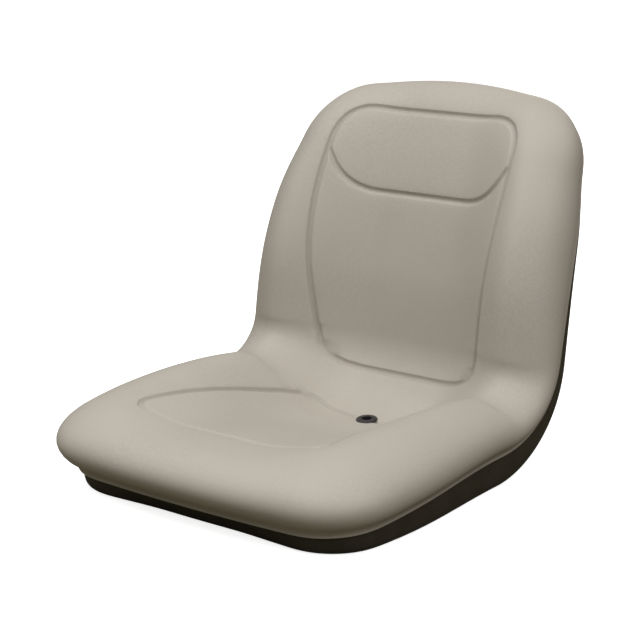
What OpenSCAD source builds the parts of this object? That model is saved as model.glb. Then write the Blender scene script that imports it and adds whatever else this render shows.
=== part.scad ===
// Bucket seat for a compact garden tractor.
//
// A pressed steel pan carries one moulded foam cushion in a formed vinyl cover.
// The seat faces -Y, X runs across it and Z is up. The origin is the centre of
// the mounting bolt pattern, on the flat underside of the pan.
//
// Every sprung surface is drawn in three running coordinates: x across the seat,
// s along the underside of the pan from its front edge over the bend to the top
// of the back, and h square to that line, up into the cushion.

/* [Side profile of the pan] */
// Flat floor behind the rear bolts, up to where the bend begins
rear_margin = 16; // [15:1:22]
// Straight length under the thighs, from the front edge to the bend
base_length = 306; // [296:1:320]
// Radius of the bend between base and back
bend_radius = 146; // [140:1:165]
// Lean of the back behind upright just above the bend, in degrees
recline = 11; // [8:1:18]
// Length of the back above the bend
back_length = 320; // [300:1:350]
// Radius of the backward sweep of the back
back_radius = 1140; // [900:10:2400]

/* [Outline of the hem] */
// Width across the front corners
front_width = 422; // [408:2:434]
// Width at the middle of the base
thigh_width = 444; // [430:2:460]
// Width where the bend begins
hip_width = 432; // [420:2:446]
// Width at the waist, just above the bend
waist_width = 440; // [430:2:456]
// Width at the shoulders
shoulder_width = 426; // [410:2:440]
// Width at the top edge, before its corners are rounded
top_width = 344; // [330:2:360]
// Radius of the two front corners
front_corner_r = 73; // [62:1:80]
// Radius of the two top corners
top_corner_r = 90; // [78:1:96]
// Forward bow of the front edge
front_bow = 9; // [4:1:14]
// Upward bow of the top edge
top_bow = 10; // [6:1:16]

/* [Depth of the pan] */
// Height of the cover's lower edge above the underside at the front
hem_front = 22; // [18:1:26]
// The same where the bend begins
hem_hip = 39; // [34:1:42]
// The same where the bend ends
hem_waist = 24; // [20:1:28]
// The same at the top edge
hem_top = 6; // [5:1:9]
// Height of the strip of cover that laps flat over the outside of the rim
lap = 6; // [5:0.5:8]
// How far the front wall leans in from the hem down to the floor
front_draft = 17; // [12:1:22]
// How far the top edge leans in
top_draft = 10; // [7:1:14]
// How far the side walls lean in
side_draft = 5; // [4:0.5:8]
// Thickness of the pressed sheet
sheet = 1.6; // [1.4:0.1:2]
// Radius between the walls and the floor
pan_corner_r = 9; // [6:0.5:11]

/* [Stiffening beads pressed into the pan] */
// Height of the beads
bead_height = 4; // [3:0.5:5]
// Place of the beads, as a share of the half width of the floor
bead_place = 0.42; // [0.38:0.01:0.46]
// Half width of the beads, as a share of the half width of the floor
bead_spread = 0.08; // [0.07:0.01:0.1]

/* [Cushion height above the underside, down the middle] */
// At the front edge
centre_front = 99; // [92:1:104]
// Under the thighs
centre_thigh = 78; // [72:1:84]
// At the lowest place of the dish
centre_dish = 41; // [38:1:46]
// In the bend
centre_bend = 25; // [23:1:30]
// At the small of the back
centre_lumbar = 44; // [38:1:48]
// At the shoulders
centre_shoulder = 52; // [46:1:56]
// At the top edge
centre_top = 49; // [44:1:52]

/* [Rise of the side bolsters over the middle] */
// At the front edge
rise_front = 0; // [0:1:4]
// Under the thighs
rise_thigh = 33; // [30:1:38]
// At the lowest place of the dish
rise_dish = 66; // [60:1:70]
// In the bend
rise_bend = 62; // [56:1:66]
// At the small of the back
rise_lumbar = 60; // [54:1:64]
// At the shoulders
rise_shoulder = 33; // [28:1:37]
// At the top edge
rise_top = 4; // [0:1:8]

/* [Edge roll of the cushion] */
// Width of the roll from its crest to the hem at the front
roll_front = 85; // [80:1:92]
// The same where the bend begins
roll_hip = 72; // [68:1:78]
// The same where the bend ends
roll_waist = 63; // [59:1:68]
// The same at the top
roll_top = 56; // [53:1:60]
// How far the roll swells out past the hem at the front
swell_front = 25; // [21:1:30]
// The same where the bend begins
swell_hip = 17; // [14:1:20]
// The same where the bend ends
swell_waist = 9; // [6:1:11]
// The same at the top
swell_top = 4; // [3:0.5:7]

/* [Cover] */
// Thickness of the vinyl with its bonded backing
cover_t = 3; // [2.6:0.1:3.4]
// Depth of the embossed lines
groove_depth = 1.6; // [1.2:0.1:1.8]
// Radius of the rounded tool that presses the lines
groove_r = 5; // [4:0.5:6]
// Half width of the embossed seat panel at its front corners
seat_panel_front = 142; // [136:1:146]
// Half width of the seat panel at its rear corners
seat_panel_rear = 98; // [90:1:104]
// Distance of the seat panel behind the front edge of the pan
seat_panel_start = 66; // [60:1:72]
// Length of the seat panel
seat_panel_length = 296; // [285:1:300]
// Half width of the embossed back panel
back_panel_half = 138; // [130:1:142]
// Half width of the back panel at its lower corners
back_panel_low = 114; // [106:1:120]
// Height of the back panel
back_panel_height = 335; // [325:1:340]
// Distance of the back panel below the top edge
back_panel_drop = 46; // [42:1:52]
// Height of the headrest field at the top of the back panel
headrest_height = 103; // [95:1:110]

/* [Mounting] */
// Spacing of the mounting holes across the seat
bolt_x = 286; // [276:1:292]
// Spacing of the mounting holes from front to rear
bolt_y = 200; // [190:1:206]
// Diameter of the mounting holes
bolt_hole_d = 9; // [8.5:0.5:10]
// Width of the reinforcing bars
bar_w = 28; // [24:1:30]
// Thickness of the reinforcing bars
bar_t = 3; // [2.5:0.5:4]
// Length of the reinforcing bars past the bolt centres
bar_end = 20; // [16:1:24]
// Width of the weld nuts across their flats
nut_flats = 13; // [12:0.5:15]
// Height of the weld nuts
nut_h = 6.5; // [6:0.5:8]
// Diameter of the thread in the weld nuts
nut_thread_d = 8; // [6:1:8]

/* [Drain and switch holes] */
// Distance of the drain hole behind the start of the bend, along the pan
drain_s = 34; // [26:1:40]
// Diameter of the water passage
drain_d = 13; // [11:0.5:14]
// Wall of the drain tube
drain_wall = 1.5; // [1.2:0.1:2]
// Diameter of the flange that lies on the cover
drain_flange_d = 27; // [24:1:30]
// Thickness of that flange
drain_flange_t = 1.8; // [1.4:0.1:2.2]
// Diameter of the switch hole in the floor of the pan
switch_d = 38; // [34:1:42]
// Distance of the switch hole ahead of the bolt pattern centre
switch_ahead = 20; // [0:1:35]
// Thickness of the flange of the plug in that hole
plug_t = 2; // [1.6:0.1:2.4]
// Width of that flange past the hole
plug_lip = 4; // [3:0.5:5]
// Diameter of the small holes in the side walls
side_hole_d = 3; // [2.5:0.5:4]
// Distance of the first side hole from the front edge, along the pan
side_hole_base = 281; // [270:1:290]
// Distance of the second side hole, in the bend
side_hole_bend = 437; // [425:1:445]
// Distance of the third side hole, on the back
side_hole_back = 565; // [555:1:575]
// Height of the side holes above the underside, from the first to the third
side_hole_h = [27, 21, 8];

/* [Clearance] */
// Clearance round every piece inside the cushion
fit = 0.3; // [0.2:0.05:0.5]

/* [Hidden] */
$fn = 48;

// Helper values and functions

function clamp(v, lo, hi) = max(lo, min(hi, v));
function ease(a, b, v) = let (t = clamp((v - a)/(b - a), 0, 1)) t*t*(3 - 2*t);
function lerp(a, b, t) = a + (b - a)*t;
function unit(v) = v/norm(v);

// Value at v of a smooth curve without overshoot through ys at the stations xs
function grade(xs, ys, i) = (ys[i + 1] - ys[i])/(xs[i + 1] - xs[i]);
function lean(xs, ys, i) =
    i == 0 ? grade(xs, ys, 0) :
    i == len(xs) - 1 ? grade(xs, ys, i - 1) :
    let (a = grade(xs, ys, i - 1), b = grade(xs, ys, i)) a*b <= 0 ? 0 : 2*a*b/(a + b);
function span_of(xs, v, i = 0) = i >= len(xs) - 2 || v <= xs[i + 1] ? i : span_of(xs, v, i + 1);
function along(xs, ys, at) =
    let (v = clamp(at, xs[0], xs[len(xs) - 1]), i = span_of(xs, v), w = xs[i + 1] - xs[i],
         t = (v - xs[i])/w, a = lean(xs, ys, i)*w, b = lean(xs, ys, i + 1)*w)
    ys[i]*(1 + 2*t)*(1 - t)*(1 - t) + a*t*(1 - t)*(1 - t)
    + ys[i + 1]*t*t*(3 - 2*t) - b*t*t*(1 - t);

// The spine: the underside of the pan in side view

front_overhang = base_length - rear_margin - bolt_y/2;
bend_angle = 90 - recline;
bend_length = bend_radius*bend_angle*PI/180;
bend_end = base_length + bend_length;
total = bend_end + back_length;

function heading(s) =
    s < base_length ? 0 :
    s < bend_end ? (s - base_length)/bend_radius*180/PI :
    bend_angle - (s - bend_end)/back_radius*180/PI;
function spine_y(s) =
    s < base_length ? s - front_overhang :
    s < bend_end ? base_length - front_overhang + bend_radius*sin(heading(s)) :
    spine_y(bend_end - 0.001) + back_radius*(sin(bend_angle) - sin(heading(s)));
function spine_z(s) =
    s < base_length ? 0 :
    s < bend_end ? bend_radius*(1 - cos(heading(s))) :
    spine_z(bend_end - 0.001) + back_radius*(cos(heading(s)) - cos(bend_angle));
function place(x, s, h) = let (a = heading(s)) [x, spine_y(s) - h*sin(a), spine_z(s) + h*cos(a)];

// The hem outline in x and s: half of it from the front centre to the top centre

width_at = [0, base_length*0.5, base_length, base_length + bend_length*0.8,
    bend_end + back_length*0.45, total];
half_widths = [front_width, thigh_width, hip_width, waist_width, shoulder_width, top_width]/2;
function half_width(s) = along(width_at, half_widths, s);

front_flat = half_width(front_corner_r) - front_corner_r;
front_corner_s = front_bow*pow(front_flat/half_width(front_corner_r), 2) + front_corner_r;
top_corner_s = total - top_bow - top_corner_r;
top_flat = half_width(top_corner_s) - top_corner_r;

side_s = concat(
    [for (k = [0:3]) lerp(front_corner_s, base_length, k/4)],
    [for (k = [0:6]) lerp(base_length, bend_end, k/7)],
    [for (k = [0:4]) lerp(bend_end, top_corner_s, k/5)]);
half_outline = concat(
    [for (k = [0:3]) let (x = front_flat*k/4)
        [x, front_bow*pow(x/half_width(front_corner_r), 2)]],
    [for (k = [0:5]) let (a = 90*k/6)
        [front_flat + front_corner_r*sin(a), front_corner_s - front_corner_r*cos(a)]],
    [for (s = side_s) [half_width(s), s]],
    [for (k = [0:5]) let (a = 90*k/6)
        [top_flat + top_corner_r*cos(a), top_corner_s + top_corner_r*sin(a)]],
    [for (k = [0:4]) let (x = top_flat*(1 - k/4)) [x, total - top_bow*pow(x/top_flat, 2)]]);
half_n = len(half_outline) - 1;
outline = concat(half_outline, [for (i = [half_n - 1:-1:1]) [-half_outline[i].x, half_outline[i].y]]);
ring_n = len(outline);

// Each point of the outline moves inward to its own point of a core rectangle
core_half = 45;
core_front = base_length*0.45;
core_top = total - back_length*0.35;
core = [for (p = outline) [clamp(p.x, -core_half, core_half), clamp(p.y, core_front, core_top)]];
reach = [for (i = [0:ring_n - 1]) norm(core[i] - outline[i])];
inward = [for (i = [0:ring_n - 1]) (core[i] - outline[i])/reach[i]];

// Values that run round the outline
edge_at = [0, base_length, bend_end, total];
hem = [for (p = outline) along(edge_at, [hem_front, hem_hip, hem_waist, hem_top], p.y)];
roll = [for (p = outline) along(edge_at, [roll_front, roll_hip, roll_waist, roll_top], p.y)];
swell = [for (p = outline) along(edge_at, [swell_front, swell_hip, swell_waist, swell_top], p.y)];
roll_start = [for (i = [0:ring_n - 1]) acos(roll[i]/(roll[i] + swell[i]))];

// Height of the cushion away from the edge roll
height_at = [0, base_length*0.45, base_length*0.95, base_length + bend_length*0.75,
    bend_end + back_length*0.25, bend_end + back_length*0.7, total];
centre_heights = [centre_front, centre_thigh, centre_dish, centre_bend, centre_lumbar,
    centre_shoulder, centre_top];
rises = [rise_front, rise_thigh, rise_dish, rise_bend, rise_lumbar, rise_shoulder, rise_top];
function cushion_h(x, s) =
    along(height_at, centre_heights, s)
    + along(height_at, rises, s)*ease(0.25, 0.85, abs(x)/half_width(s));

// One closed ring of points for each step of the cushion's skin, from the hem to the
// core. The skin is drawn at the distance off inside the outer face of the cover, and
// up lifts its lower edge.
ROLL_STEPS = 6;
CORE_STEPS = 5;
CORE_END = 0.9;
function skin_point(i, q, h) = let (p = outline[i] + inward[i]*q) place(p.x, p.y, h);
function hem_ring(off) = [for (i = [0:ring_n - 1]) skin_point(i, off, hem[i])];
function roll_ring(k, off, up) = [for (i = [0:ring_n - 1])
    let (psi = lerp(-roll_start[i], 90, k/ROLL_STEPS),
         q = roll[i] - (roll[i] + swell[i] - off)*cos(psi),
         p = outline[i] + inward[i]*q,
         share = (sin(psi) + sin(roll_start[i]))/(1 + sin(roll_start[i])),
         low = hem[i] + lap + up)
    place(p.x, p.y, low + (cushion_h(p.x, p.y) - off - low)*share)];
function core_ring(k, off) = [for (i = [0:ring_n - 1])
    let (p = outline[i] + inward[i]*lerp(roll[i], reach[i], CORE_END*k/CORE_STEPS))
    place(p.x, p.y, cushion_h(p.x, p.y) - off)];
function skin(off, up = 0) = concat(
    [for (k = [0:ROLL_STEPS]) roll_ring(k, off, up)],
    [for (k = [1:CORE_STEPS]) core_ring(k, off)]);

// Rows of points that close a ring from side to side: row i joins its points i and
// ring_n - i, and each column stands at a share of the row's half width
CORE_COLS = [0.5, 0, -0.5];
function flat_point(i, q) = outline[i] + inward[i]*q;
function core_rows(off) = [for (i = [1:half_n - 1])
    let (p = flat_point(i, lerp(roll[i], reach[i], CORE_END)))
    [for (c = CORE_COLS) place(p.x*c, p.y, cushion_h(p.x*c, p.y) - off)]];

// A closed solid between two faces. Each face is a list of rings from its edge inward
// and the rows that close its last ring. Both split their quads along the same
// diagonals, mirrored left to right, so faces at a constant distance never cross.
function flatten(list) = [for (a = list) for (b = a) b];
function turned(faces) = [for (f = faces) [f[0], f[2], f[1]]];
function band(a, b) = [for (i = [0:ring_n - 1]) let (j = (i + 1)%ring_n)
    each i < ring_n/2 ? [[a + i, b + i, b + j], [a + i, b + j, a + j]]
        : [[a + i, b + i, a + j], [a + j, b + i, b + j]]];
function bands(first, count) =
    flatten([for (k = [0:count - 2]) band(first + k*ring_n, first + (k + 1)*ring_n)]);
function row_of(ring, rows, m, i) =
    concat([ring + i], [for (c = [0:m - 1]) rows + (i - 1)*m + c], [ring + ring_n - i]);
function cap(ring, rows, m) = concat(
    [for (c = [0:m]) let (r = row_of(ring, rows, m, 1)) [ring, r[c + 1], r[c]]],
    [for (i = [1:half_n - 2])
        let (r = row_of(ring, rows, m, i), t = row_of(ring, rows, m, i + 1))
        for (c = [0:m]) each c < (m + 1)/2 ? [[r[c], t[c + 1], t[c]], [r[c], r[c + 1], t[c + 1]]]
            : [[r[c], r[c + 1], t[c]], [r[c + 1], t[c + 1], t[c]]]],
    [for (c = [0:m]) let (r = row_of(ring, rows, m, half_n - 1)) [ring + half_n, r[c], r[c + 1]]]);
module shell(outer, outer_rows, inner, inner_rows) {
    inner_at = len(outer)*ring_n;
    outer_rows_at = inner_at + len(inner)*ring_n;
    inner_rows_at = outer_rows_at + len(flatten(outer_rows));
    points = concat(flatten(outer), flatten(inner), flatten(outer_rows), flatten(inner_rows));
    faces = concat(
        bands(0, len(outer)),
        cap(inner_at - ring_n, outer_rows_at, len(outer_rows[0])),
        turned(bands(inner_at, len(inner))),
        turned(cap(outer_rows_at - ring_n, inner_rows_at, len(inner_rows[0]))),
        turned(band(0, inner_at)));
    polyhedron(points, faces);
}
// Pan: its wall runs from the rim down to the floor. off is 0 on the outer face and
// the sheet's thickness on the inner one. Each entry is [inset from the hem, height].
rim_inset = cover_t + fit;
WALL_STEPS = 3;
function wall_profile(i, off, up = 0) =
    let (side = pow(inward[i].x, 2), end = lerp(front_draft, top_draft, outline[i].y/total),
         foot = lerp(end, side_draft, side),
         top = hem[i] + lap, dir = unit([rim_inset - foot, top]),
         shift = off*(1 + dir.x)/dir.y, corner = [foot + off*dir.y + shift*dir.x, off],
         rim = [corner.x + (top + up - off)/dir.y*dir.x, top + up],
         r = min(pan_corner_r, 0.6*top), a = [corner.x + r, off], b = corner + dir*r)
    concat([rim], [for (k = [0:WALL_STEPS]) let (t = k/WALL_STEPS)
        b*(1 - t)*(1 - t) + corner*2*t*(1 - t) + a*t*t]);
function wall_rings(off, up = 0) = [for (k = [0:WALL_STEPS + 1]) [for (i = [0:ring_n - 1])
    let (w = wall_profile(i, off, up)[k]) skin_point(i, w.x, w.y)]];

// Floor: rows across the seat, with two beads along the back
bead_cols = [for (c = [1, -1]) for (u = [1, 0.5, 0, -0.5, -1]) c*bead_place + u*bead_spread];
bead_fade = 10*bead_height;
bead_back_from = bend_end - bead_fade;
bead_back_to = total - top_corner_r;
function bead_run(s) =
    ease(bead_back_from, bead_back_from + bead_fade, s)
    *(1 - ease(bead_back_to - bead_fade, bead_back_to, s));
function bead(c, s) = bead_height*bead_run(s)*(1 - ease(0, 1, abs(abs(c) - bead_place)/bead_spread));
function floor_rows(off) = [for (i = [1:half_n - 1])
    let (p = flat_point(i, wall_profile(i, off)[WALL_STEPS + 1].x))
    [for (c = bead_cols) place(p.x*c, p.y, off + bead(c, p.y))]];

// Paths of the embossed lines, with each corner rounded over a length of its edges
function corner_arc(a, p, b, cut) = let (u = p + unit(a - p)*cut, v = p + unit(b - p)*cut)
    [for (k = [0:5]) let (t = k/5) u*(1 - t)*(1 - t) + p*2*t*(1 - t) + v*t*t];
function rounded(pts, cuts) = [for (i = [0:len(pts) - 1])
    each corner_arc(pts[(i + len(pts) - 1)%len(pts)], pts[i], pts[(i + 1)%len(pts)], cuts[i])];
GROOVE_STEP = 20;
function spaced(path) = [for (i = [0:len(path) - 2])
    let (n = max(1, ceil(norm(path[i + 1] - path[i])/GROOVE_STEP)))
    for (k = [0:n - 1]) lerp(path[i], path[i + 1], k/n)];
function closed(path) = concat(path, [path[0]]);

panel_top = total - back_panel_drop;
panel_low = panel_top - back_panel_height;
panel_mid = lerp(panel_low, panel_top, 0.58);
back_cut = 0.35*back_panel_half;
low_cut = 0.3*back_panel_low;
back_line = closed(rounded([
    [back_panel_half - 5, panel_top], [-(back_panel_half - 5), panel_top],
    [-(back_panel_half + 3), panel_mid], [-back_panel_low, panel_low],
    [back_panel_low, panel_low], [back_panel_half + 3, panel_mid]],
    [back_cut, back_cut, 2*back_cut, low_cut, low_cut, 2*back_cut]));
headrest_s = panel_top - headrest_height;
headrest_line = concat([[-back_panel_half + 9, headrest_s + 33]],
    corner_arc([-back_panel_half + 9, headrest_s + 33], [-back_panel_half + 32, headrest_s],
        [0, headrest_s], 36),
    corner_arc([0, headrest_s], [back_panel_half - 32, headrest_s],
        [back_panel_half - 9, headrest_s + 33], 36),
    [[back_panel_half - 9, headrest_s + 33]]);
seat_panel_end = seat_panel_start + seat_panel_length;
seat_notch = 0.088*seat_panel_length;
seat_cut = 0.183*seat_panel_front;
seat_line = closed(rounded([
    [-seat_panel_front, seat_panel_start], [seat_panel_front, seat_panel_start],
    [seat_panel_rear, seat_panel_end], [0, seat_panel_end - seat_notch],
    [-seat_panel_rear, seat_panel_end]],
    [seat_cut, seat_cut, seat_cut, seat_cut, seat_cut]));

// A point on the face of the cover, and the same point lifted square off the face
function face_point(x, s) = place(x, s, cushion_h(x, s));
function face_normal(x, s) =
    unit(cross(face_point(x + 2, s) - face_point(x - 2, s), face_point(x, s + 2) - face_point(x, s - 2)));
function lifted(p, lift) = face_point(p.x, p.y) + face_normal(p.x, p.y)*lift;

// A rounded tool run along a path on the face of the cover
module emboss(path) {
    lift = groove_r - groove_depth;
    for (i = [0:len(path) - 2]) {
        hull() {
            for (p = [path[i], path[i + 1]]) translate(lifted(p, lift)) sphere(groove_r, $fn = 8);
        }
    }
}

// The drain stands square to the face of the cover at the foot of the dish: its own
// origin is on that face, and Z points out of it
drain_at = base_length + drain_s;
drain_lean = let (n = face_normal(0, drain_at)) atan2(-n.y, n.z);
drain_depth = (cushion_h(0, drain_at))/cos(drain_lean - heading(drain_at));
module on_drain() {
    translate(face_point(0, drain_at)) rotate([drain_lean, 0, 0]) children();
}
module drain_shaft(r, low, high) {
    on_drain() translate([0, 0, low]) cylinder(r = r, h = high - low);
}
drain_outer_r = drain_d/2 + drain_wall;

// Places of the other holes
bolt_places = [for (x = [-1, 1]) for (y = [-1, 1]) [x*bolt_x/2, y*bolt_y/2]];
side_holes = [[side_hole_base, side_hole_h[0]], [side_hole_bend, side_hole_h[1]],
    [side_hole_back, side_hole_h[2]]];

// Pressed steel tray with a flat floor for the mounting, side walls and a swept back
module steel_pan() {
    color([0.13, 0.12, 0.11])
    difference() {
        shell(wall_rings(sheet), floor_rows(sheet), wall_rings(0), floor_rows(0));
        for (p = bolt_places) {
            translate([p.x, p.y, -5]) cylinder(d = bolt_hole_d, h = 12);
        }
        translate([0, -switch_ahead, -5]) cylinder(d = switch_d, h = 12);
        drain_shaft(drain_outer_r + fit, -drain_depth - 8, -drain_depth + 8);
        for (p = side_holes) {
            translate(place(0, p[0], p[1])) rotate([0, 90, 0])
                cylinder(d = side_hole_d, h = 2*thigh_width, center = true);
        }
    }
}

// Flat bar that spreads the load of two mounting bolts, spot welded to the floor
bar_half = bolt_x/2 + bar_end;
bar_corner_r = bar_w/4;
module mount_bar(y) {
    color([0.2, 0.2, 0.2])
    translate([0, y, sheet])
    difference() {
        linear_extrude(bar_t) {
            square([2*bar_half, bar_w - 2*bar_corner_r], center = true);
            square([2*(bar_half - bar_corner_r), bar_w], center = true);
            for (x = [-1, 1]) for (v = [-1, 1]) {
                translate([x*(bar_half - bar_corner_r), v*(bar_w/2 - bar_corner_r)])
                    circle(bar_corner_r);
            }
        }
        for (x = [-1, 1]) {
            translate([x*bolt_x/2, 0, -1]) cylinder(d = bolt_hole_d, h = bar_t + 2);
        }
    }
}
module front_mount_bar() {
    mount_bar(-bolt_y/2);
}
module rear_mount_bar() {
    mount_bar(bolt_y/2);
}

// Hexagon weld nuts on the bars
module weld_nuts() {
    color([0.55, 0.55, 0.56])
    for (p = bolt_places) {
        translate([p.x, p.y, sheet + bar_t])
        difference() {
            cylinder(d = nut_flats/cos(30), h = nut_h, $fn = 6);
            translate([0, 0, -1]) cylinder(d = nut_thread_d, h = nut_h + 2);
        }
    }
}

// Plastic plug that closes the switch hole, level with the underside
module switch_plug() {
    color([0.1, 0.1, 0.1])
    translate([0, -switch_ahead, 0])
    rotate_extrude() {
        square([switch_d/2 - fit, sheet]);
        translate([0, sheet]) square([switch_d/2 + plug_lip, plug_t]);
    }
}

// Plastic tube that leads rain water from the dish down through the cushion
module drain_tube() {
    r = drain_d/2;
    brim = drain_flange_d/2 - drain_flange_t;
    color([0.08, 0.08, 0.08])
    on_drain()
    rotate_extrude() {
        translate([r, -drain_depth]) square([drain_wall, drain_depth + drain_flange_t]);
        translate([r, 0]) square([brim - r, drain_flange_t]);
        translate([brim, 0]) intersection() {
            circle(drain_flange_t);
            square(drain_flange_t);
        }
    }
}

// Hollows in the underside of the foam for what stands on the floor of the pan
module foam_hollows() {
    for (y = [-1, 1]) {
        hull() {
            for (x = [-1, 1]) {
                translate([x*(bar_half - bar_corner_r), y*bolt_y/2, 0])
                    cylinder(r = bar_w/2 + 2*fit, h = sheet + bar_t + fit, $fn = 24);
            }
        }
    }
    for (p = bolt_places) {
        hull() {
            translate([p.x, p.y, 0]) cylinder(r = nut_flats*0.75, h = 1, $fn = 24);
            translate([p.x, p.y, sheet + bar_t + nut_h]) cylinder(r = nut_flats*0.7, h = 2, $fn = 24);
        }
    }
    translate([0, -switch_ahead, 0])
    hull() {
        cylinder(r = switch_d/2 + plug_lip + 1, h = sheet + plug_t, $fn = 32);
        cylinder(r = switch_d/2, h = sheet + plug_t + 4, $fn = 32);
    }
    hull() {
        drain_shaft(drain_outer_r + fit, -drain_depth - 8, -drain_depth, $fn = 32);
        drain_shaft(drain_outer_r + fit, 0, 8, $fn = 32);
    }
}

// One-piece moulded foam for seat and back, from the pan up to the cover
module foam_cushion() {
    in = sheet + fit;
    out = cover_t + fit;
    color([0.93, 0.87, 0.7])
    difference() {
        shell(skin(out, fit), core_rows(out), wall_rings(in, fit), floor_rows(in));
        foam_hollows();
    }
}

// One-piece formed cover with embossed lines; its lower edge laps over the rim
module vinyl_cover() {
    color([0.7, 0.67, 0.62])
    difference() {
        shell(concat([hem_ring(0)], skin(0)), core_rows(0),
            concat([hem_ring(cover_t)], skin(cover_t)), core_rows(cover_t));
        emboss(back_line_points());
        emboss(spaced(headrest_line));
        emboss(seat_line_points());
        drain_shaft(drain_outer_r + fit, -2*cover_t, 2*cover_t, $fn = 32);
        drain_shaft(drain_flange_d/2 + fit, 0, 2*cover_t, $fn = 32);
    }
}
function back_line_points() = closed(spaced(back_line));
function seat_line_points() = closed(spaced(seat_line));

steel_pan();
front_mount_bar();
rear_mount_bar();
weld_nuts();
switch_plug();
drain_tube();
foam_cushion();
vinyl_cover();
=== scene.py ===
import math

import bmesh
import bpy
import numpy as np
from mathutils import Matrix, Vector
from mathutils.geometry import delaunay_2d_cdt


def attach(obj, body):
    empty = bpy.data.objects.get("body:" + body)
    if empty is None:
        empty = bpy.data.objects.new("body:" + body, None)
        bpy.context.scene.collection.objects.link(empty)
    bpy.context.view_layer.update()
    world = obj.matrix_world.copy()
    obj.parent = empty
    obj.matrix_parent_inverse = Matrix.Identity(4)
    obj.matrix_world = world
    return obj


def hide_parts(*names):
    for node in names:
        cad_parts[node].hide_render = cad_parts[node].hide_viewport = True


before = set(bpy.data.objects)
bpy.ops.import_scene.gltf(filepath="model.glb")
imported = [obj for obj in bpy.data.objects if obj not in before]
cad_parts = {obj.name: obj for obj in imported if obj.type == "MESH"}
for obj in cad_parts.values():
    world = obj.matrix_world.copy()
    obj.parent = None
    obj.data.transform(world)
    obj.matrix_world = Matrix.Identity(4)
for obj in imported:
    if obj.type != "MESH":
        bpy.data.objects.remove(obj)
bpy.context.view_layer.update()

# Steel pan. One sheet of 1.6 mm steel, drawn into a tray with a flat floor, a bend and a
# swept back, and powder coated. It carries everything else, so its running coordinates
# are the seat's own: x across, s along its underside from the front, h square to it.

MM = 0.001
BASE_LENGTH, BEND_R, BACK_LENGTH, BACK_R = 306.0, 146.0, 320.0, 1140.0
FRONT_OVERHANG = 190.0
BEND_ANGLE = math.radians(79)
BEND_END = BASE_LENGTH + BEND_R * BEND_ANGLE
TOTAL = BEND_END + BACK_LENGTH


def heading(s):
    return np.where(
        s < BASE_LENGTH,
        0.0,
        np.where(s < BEND_END, (s - BASE_LENGTH) / BEND_R, BEND_ANGLE - (s - BEND_END) / BACK_R),
    )


def place(x, s, h):
    """Points of the seat, in millimetres, at running coordinates."""
    x, s, h = np.broadcast_arrays(*(np.asarray(v, float) for v in (x, s, h)))
    a = heading(s)
    in_bend = np.clip(a, 0, BEND_ANGLE)
    in_bend = np.where(s < BEND_END, in_bend, BEND_ANGLE)
    y = np.minimum(s, BASE_LENGTH) - FRONT_OVERHANG + BEND_R * np.sin(in_bend)
    z = BEND_R * (1 - np.cos(in_bend))
    y = y + np.where(s < BEND_END, 0, BACK_R * (np.sin(BEND_ANGLE) - np.sin(a)))
    z = z + np.where(s < BEND_END, 0, BACK_R * (np.cos(a) - np.cos(BEND_ANGLE)))
    return np.stack([x, y - h * np.sin(a), z + h * np.cos(a)], -1)


def ease(a, b, v):
    t = np.clip((v - a) / (b - a), 0, 1)
    return t * t * (3 - 2 * t)


def along(stations, values, at):
    """Smooth curve without overshoot through values at their stations."""
    xs, ys = np.asarray(stations, float), np.asarray(values, float)
    width = np.diff(xs)
    grade = np.diff(ys) / width
    both = grade[:-1] * grade[1:]
    inner = np.where(both > 0, 2 * both / np.where(both > 0, grade[:-1] + grade[1:], 1), 0)
    lean = np.concatenate([grade[:1], inner, grade[-1:]])
    v = np.clip(at, xs[0], xs[-1])
    i = np.clip(np.searchsorted(xs, v, side="left") - 1, 0, len(width) - 1)
    t, w = (v - xs[i]) / width[i], width[i]
    return (
        ys[i] * (1 + 2 * t) * (1 - t) ** 2
        + lean[i] * w * t * (1 - t) ** 2
        + ys[i + 1] * t * t * (3 - 2 * t)
        - lean[i + 1] * w * t * t * (1 - t)
    )


BEND_LENGTH = BEND_END - BASE_LENGTH
WIDTH_AT = [0, BASE_LENGTH * 0.5, BASE_LENGTH, BASE_LENGTH + BEND_LENGTH * 0.8,
            BEND_END + BACK_LENGTH * 0.45, TOTAL]
HALF_WIDTHS = [211, 222, 216, 220, 213, 172]
FRONT_R, TOP_R, FRONT_BOW, TOP_BOW = 73.0, 90.0, 9.0, 10.0
EDGE_AT = [0, BASE_LENGTH, BEND_END, TOTAL]
HEM, LAP = [22, 39, 24, 6], 6.0


def half_width(s):
    return along(WIDTH_AT, HALF_WIDTHS, s)


def hem_outline():
    """Right half of the hem from the front centre to the top centre, a point a millimetre."""
    front_w = float(half_width(FRONT_R))
    front_flat = front_w - FRONT_R
    front_s = FRONT_BOW * (front_flat / front_w) ** 2 + FRONT_R
    top_s = TOTAL - TOP_BOW - TOP_R
    top_flat = float(half_width(top_s)) - TOP_R
    turn = np.linspace(0, math.pi / 2, 130)
    x = np.linspace(0, front_flat, 140)[:-1]
    parts = [np.stack([x, FRONT_BOW * (x / front_w) ** 2], 1)]
    arc = np.stack([front_flat + FRONT_R * np.sin(turn), front_s - FRONT_R * np.cos(turn)], 1)
    parts.append(arc[:-1])
    s = np.linspace(front_s, top_s, 600)[:-1]
    parts.append(np.stack([half_width(s), s], 1))
    arc = np.stack([top_flat + TOP_R * np.cos(turn), top_s + TOP_R * np.sin(turn)], 1)
    parts.append(arc[:-1])
    x = np.linspace(top_flat, 0, 90)
    parts.append(np.stack([x, TOTAL - TOP_BOW * (x / top_flat) ** 2], 1))
    return np.concatenate(parts)


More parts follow.
